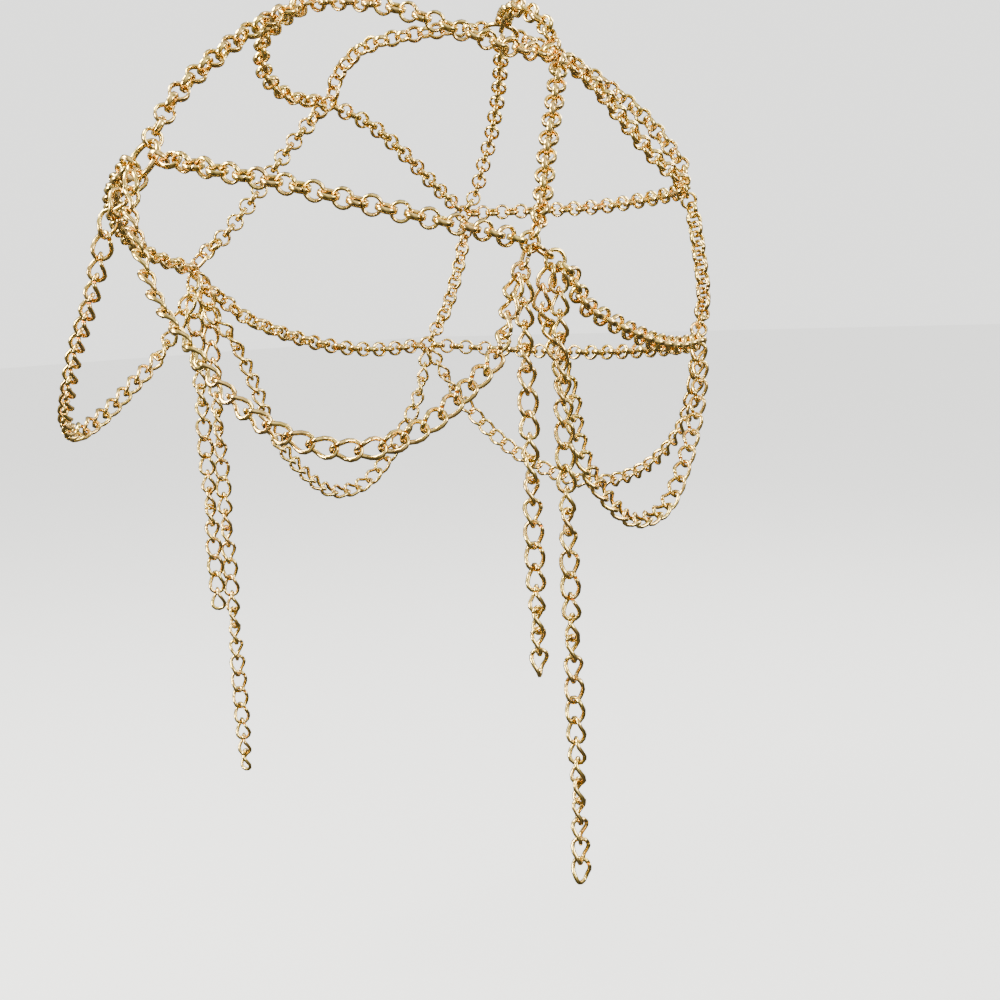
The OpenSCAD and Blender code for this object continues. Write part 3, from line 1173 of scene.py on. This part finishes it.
@dataclass(frozen=True)
class Studio:
    """A pale floor, soft lights, the surroundings and the camera.

    Attributes:
        floor_z: Height of the floor.
        floor_reach: Distance from its middle to its sides.
        floor_colour: Its linear colour.
        floor_roughness: Its roughness.
        floor_glow: Brightness of the evenly lit floor.
        aim: Point that the camera looks at.
        distance: Distance from there to the camera.
        azimuth: Turn of the camera from the front towards the left side, in degrees.
        elevation: Height of the camera above the level, in degrees.
        roll: Turn of the picture, in degrees.
        focal_px: Focal length in pixels.
        picture_px: Width of the picture in pixels.
        sensor: Width of the camera's sensor.
        clip: Nearest and farthest distance that the camera sees, in metres.
        backdrop: Brightness of the plain backdrop that the camera sees.
        pale: Linear colour of the backdrop and of the floor's glow.
        sky: Brightness of the surroundings that the gold reflects.
        sky_tones: Their colours from straight below, 0, to straight above, 1.
        panels: Number of bright upright panels round the studio.
        panel_edges: Values of the panels' wave at which they begin and are whole.
        panel_glow: Shares of the brightness between the panels and on them.
        lamps: The lights.
    """

    floor_z: float = -230.0
    floor_reach: float = 6000.0
    floor_colour: Triple = (0.5, 0.5, 0.48)
    floor_roughness: float = 0.9
    floor_glow: float = 1.3
    aim: Triple = (0.0, 35.0, -64.0)
    distance: float = 416.79
    azimuth: float = 41.67
    elevation: float = 9.01
    roll: float = -2.71
    focal_px: float = 1262.84
    picture_px: float = 1000.0
    sensor: float = 36.0
    clip: Pair = (0.01, 20.0)
    backdrop: float = 2.1
    pale: Triple = (1.0, 1.0, 0.97)
    sky: float = 1.1
    sky_tones: tuple[tuple[float, Triple], ...] = (
        (0.25, (0.09, 0.085, 0.08)), (0.5, (0.34, 0.335, 0.33)), (0.85, WHITE),
    )
    panels: float = 3.0
    panel_edges: Pair = (-0.6, 0.8)
    panel_glow: Pair = (0.5, 1.6)
    lamps: tuple[Lamp, ...] = (
        Lamp("key_light", (-330.0, -430.0, 640.0), 360.0, 20.0, (1.0, 0.98, 0.94)),
        Lamp("front_light", (-260.0, -780.0, 140.0), 260.0, 10.0, (1.0, 0.98, 0.94)),
        Lamp("fill_light", (760.0, 120.0, 240.0), 300.0, 6.0, (1.0, 0.98, 0.96)),
        Lamp("rim_light", (60.0, 620.0, 420.0), 320.0, 5.0, (1.0, 0.99, 0.97)),
    )

    def build(self) -> None:
        """Set the floor, the camera, the surroundings and the lights."""
        self._floor()
        self._camera()
        self._surroundings()
        for lamp in self.lamps:
            lamp.build()

    def _floor(self) -> None:
        """Lay the floor as one large plain square."""
        mesh = bpy.data.meshes.new("floor")
        corners = self.floor_reach * points((-1, -1, 0), (1, -1, 0), (1, 1, 0), (-1, 1, 0))
        mesh.from_pydata(((corners + self.floor_z * UP) * MM).tolist(), [], [(0, 1, 2, 3)])
        paint = bpy.data.materials.new("pale_floor")
        paint.use_nodes = True
        Shading(paint.node_tree).feed(
            paint.node_tree.nodes["Principled BSDF"],
            {
                "Base Color": (*self.floor_colour, 1.0),
                "Emission Color": (*self.pale, 1.0),
                "Emission Strength": self.floor_glow,
                "Roughness": self.floor_roughness,
            },
        )
        mesh.materials.append(paint)
        floor = bpy.data.objects.new("floor", mesh)
        bpy.context.scene.collection.objects.link(floor)
        floor.visible_glossy = False

    def _camera(self) -> None:
        """Set the camera on a sphere round its aim, its right side level but for the roll."""
        a, e, r = (math.radians(x) for x in (self.azimuth, self.elevation, self.roll))
        back = np.array([math.sin(a) * math.cos(e), -math.cos(a) * math.cos(e), math.sin(e)])
        level = unit(np.cross(UP, back))
        lens = bpy.data.cameras.new("camera")
        lens.sensor_width = self.sensor
        lens.lens = self.focal_px / self.picture_px * self.sensor
        lens.clip_start, lens.clip_end = self.clip
        camera = bpy.data.objects.new("camera", lens)
        right = level * math.cos(r) + np.cross(back, level) * math.sin(r)
        stand(camera, right, back, np.array(self.aim) + self.distance * back)
        bpy.context.scene.camera = camera

    def _surroundings(self) -> None:
        """Set a pale backdrop, and for reflections bright upright panels over a dark lower half.

        The brightness of the panels eases from the one share to the other as the cosine
        of their number times the turn about the upright goes from edge to edge.
        """
        world = bpy.data.worlds.new("studio")
        bpy.context.scene.world = world
        world.use_nodes = True
        world.node_tree.nodes.clear()
        shading = Shading(world.node_tree)
        way = shading.add("TexCoord").outputs["Generated"]
        split = shading.add("SeparateXYZ", {"Vector": way}).outputs
        tones = shading.ramp(shading.remap(split["Z"], (-1.0, 0.0), (1.0, 1.0)), *self.sky_tones)
        around = shading.calculate("ARCTAN2", split["X"], split["Y"])
        wave = shading.calculate("COSINE", shading.calculate("MULTIPLY", around, self.panels))
        low, high = zip(self.panel_edges, (self.sky * glow for glow in self.panel_glow))
        glow = shading.remap(wave, low, high, "SMOOTHSTEP")
        soft = shading.add("Background", {"Strength": glow, "Color": tones})
        plain = shading.add("Background", {"Color": (*self.pale, 1.0), "Strength": self.backdrop})
        seen = shading.add("LightPath").outputs["Is Camera Ray"]
        mix = shading.add("MixShader", {"Fac": seen, 1: soft.outputs[0], 2: plain.outputs[0]})
        shading.add("OutputWorld", {"Surface": mix.outputs[0]})


def main() -> None:
    """Build the studio and the cage, and report each piece."""
    logging.basicConfig(level=logging.INFO, format="%(name)s %(message)s")
    Studio().build()
    chains = {Slot.ROUND: Gold("round_gold").material(), Slot.OVAL: Gold("oval_gold").material()}
    ring_gold = Gold("ring_gold").material()
    Cage({**chains, Slot.RING: ring_gold, Slot.HANGER: ring_gold}).build()


if __name__ == "__main__":
    main()
